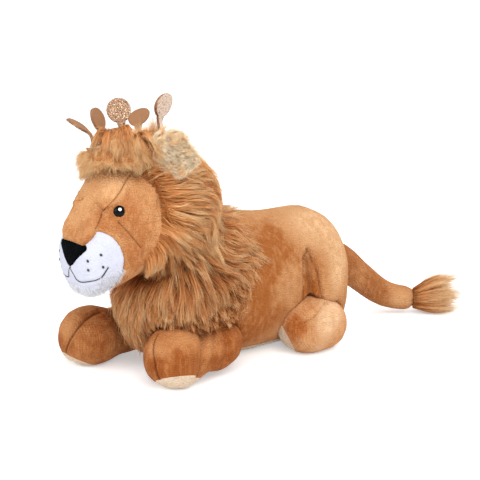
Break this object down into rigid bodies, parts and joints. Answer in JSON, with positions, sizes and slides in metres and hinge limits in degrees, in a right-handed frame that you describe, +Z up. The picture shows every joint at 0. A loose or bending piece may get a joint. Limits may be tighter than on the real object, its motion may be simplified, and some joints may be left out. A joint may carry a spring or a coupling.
{
  "type": "plush lion",
  "caption": "Stuffed toy lion lying down, with a long-pile mane, a soft fabric crown with disc-topped prongs, and a head, legs, ears and tail that turn at their seams.",
  "frame": {"origin": "on the ground under the middle of the torso", "axes": "+Z up, the lion looks along -Y, its left side is +X"},
  "size_m": [0.1303, 0.3588, 0.21],
  "materials": {
    "plush": "short golden-tan pile",
    "belly_plush": "short cream pile",
    "white_plush": "short white pile",
    "nose_velvet": "black velvet",
    "mane_fur": "long soft pile",
    "crown_glitter": "glitter-coated fabric",
    "crown_lining": "matte woven backing",
    "eye_plastic": "polished",
    "washer_plastic": "moulded"
  },
  "bodies": {
    "torso": {"torso": "plush", "belly_panel": "belly_plush", "mane_chest": "mane_fur"},
    "head": {"head": "plush", "muzzle": "white_plush", "nose": "nose_velvet", "eye_left": "eye_plastic", "eye_washer_left": "washer_plastic", "eye_right": "eye_plastic", "eye_washer_right": "washer_plastic", "mane": "mane_fur", "forelock": "mane_fur", "crown_glitter": "crown_glitter", "crown_lining": "crown_lining"},
    "front_leg_left": {"front_leg_left": "plush", "front_sole_left": "belly_plush"},
    "front_leg_right": {"front_leg_right": "plush", "front_sole_right": "belly_plush"},
    "hind_foot_left": {"hind_foot_left": "plush", "hind_sole_left": "belly_plush"},
    "hind_foot_right": {"hind_foot_right": "plush", "hind_sole_right": "belly_plush"},
    "tail": {"tail": "plush", "tail_tuft": "mane_fur"},
    "ear_left": {"ear_back_left": "plush", "ear_lining_left": "belly_plush"},
    "ear_right": {"ear_back_right": "plush", "ear_lining_right": "belly_plush"}
  },
  "joints": [
    {"name": "head_turn", "type": "hinge", "parent": "torso", "child": "head", "pos_m": [0, -0.082, 0.126], "axis": [0, 0, 1], "range_deg": [-15, 15], "stiffness_Nm_per_rad": 0.06},
    {"name": "front_leg_left_splay", "type": "hinge", "parent": "torso", "child": "front_leg_left", "pos_m": [0.031, -0.046, 0], "axis": [0, 0, 1], "range_deg": [-8, 20], "stiffness_Nm_per_rad": 0.03},
    {"name": "front_leg_right_splay", "type": "hinge", "parent": "torso", "child": "front_leg_right", "pos_m": [-0.044, -0.067, 0], "axis": [0, 0, -1], "range_deg": [-8, 20], "stiffness_Nm_per_rad": 0.03},
    {"name": "hind_foot_left_swing", "type": "hinge", "parent": "torso", "child": "hind_foot_left", "pos_m": [0.038, 0.051, 0], "axis": [0, 0, 1], "range_deg": [0, 20], "stiffness_Nm_per_rad": 0.02},
    {"name": "hind_foot_right_swing", "type": "hinge", "parent": "torso", "child": "hind_foot_right", "pos_m": [-0.038, 0.051, 0], "axis": [0, 0, -1], "range_deg": [0, 20], "stiffness_Nm_per_rad": 0.02},
    {"name": "tail_swing", "type": "hinge", "parent": "torso", "child": "tail", "pos_m": [0.00056, 0.09704, 0.05665], "axis": [0, 0, 1], "range_deg": [-30, 30], "stiffness_Nm_per_rad": 0.02},
    {"name": "ear_left_fold", "type": "hinge", "parent": "head", "child": "ear_left", "pos_m": [0.03, -0.0955, 0.16], "axis": [0.5693, 0.5126, -0.6428], "range_deg": [-15, 15], "stiffness_Nm_per_rad": 0.005},
    {"name": "ear_right_fold", "type": "hinge", "parent": "head", "child": "ear_right", "pos_m": [-0.036, -0.093, 0.152], "axis": [0.2542, -0.2289, 0.9397], "range_deg": [-15, 15], "stiffness_Nm_per_rad": 0.005}
  ]
}
